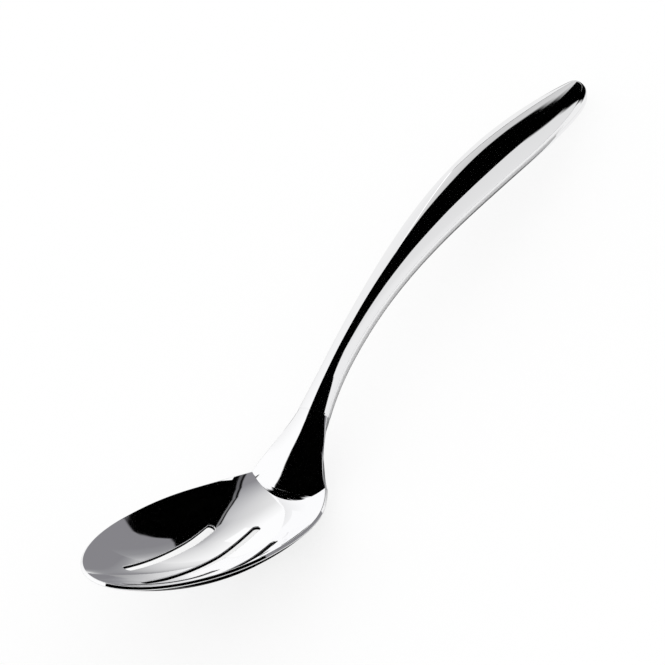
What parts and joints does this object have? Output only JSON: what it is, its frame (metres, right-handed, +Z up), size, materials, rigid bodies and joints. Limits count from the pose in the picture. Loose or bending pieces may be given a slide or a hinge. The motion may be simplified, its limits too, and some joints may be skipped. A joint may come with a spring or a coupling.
{
  "type": "slotted serving spoon",
  "caption": "Polished steel serving spoon: an oval slotted bowl, a steep pressed shank and an arched hollow handle that swells to a blunt end.",
  "frame": {"origin": "on the table under the middle of the spoon's length and width, as the spoon rests", "axes": "+X from the tip of the bowl to the end of the handle, +Y to the spoon's left, +Z up; the spoon lies as on a table, on the heel of the bowl and the end of the handle"},
  "size_m": [0.3344, 0.066, 0.0555],
  "materials": {
    "bowl_steel": "mirror-polished 18/8 stainless steel sheet",
    "handle_steel": "mirror-polished 18/8 stainless steel shell",
    "weld_steel": "stainless steel weld, ground flush and polished"
  },
  "bodies": {
    "root": {"slotted_bowl": "bowl_steel", "neck_weld": "weld_steel", "handle_top_shell": "handle_steel", "handle_bottom_shell": "handle_steel", "seam_weld": "weld_steel"}
  },
  "joints": []
}
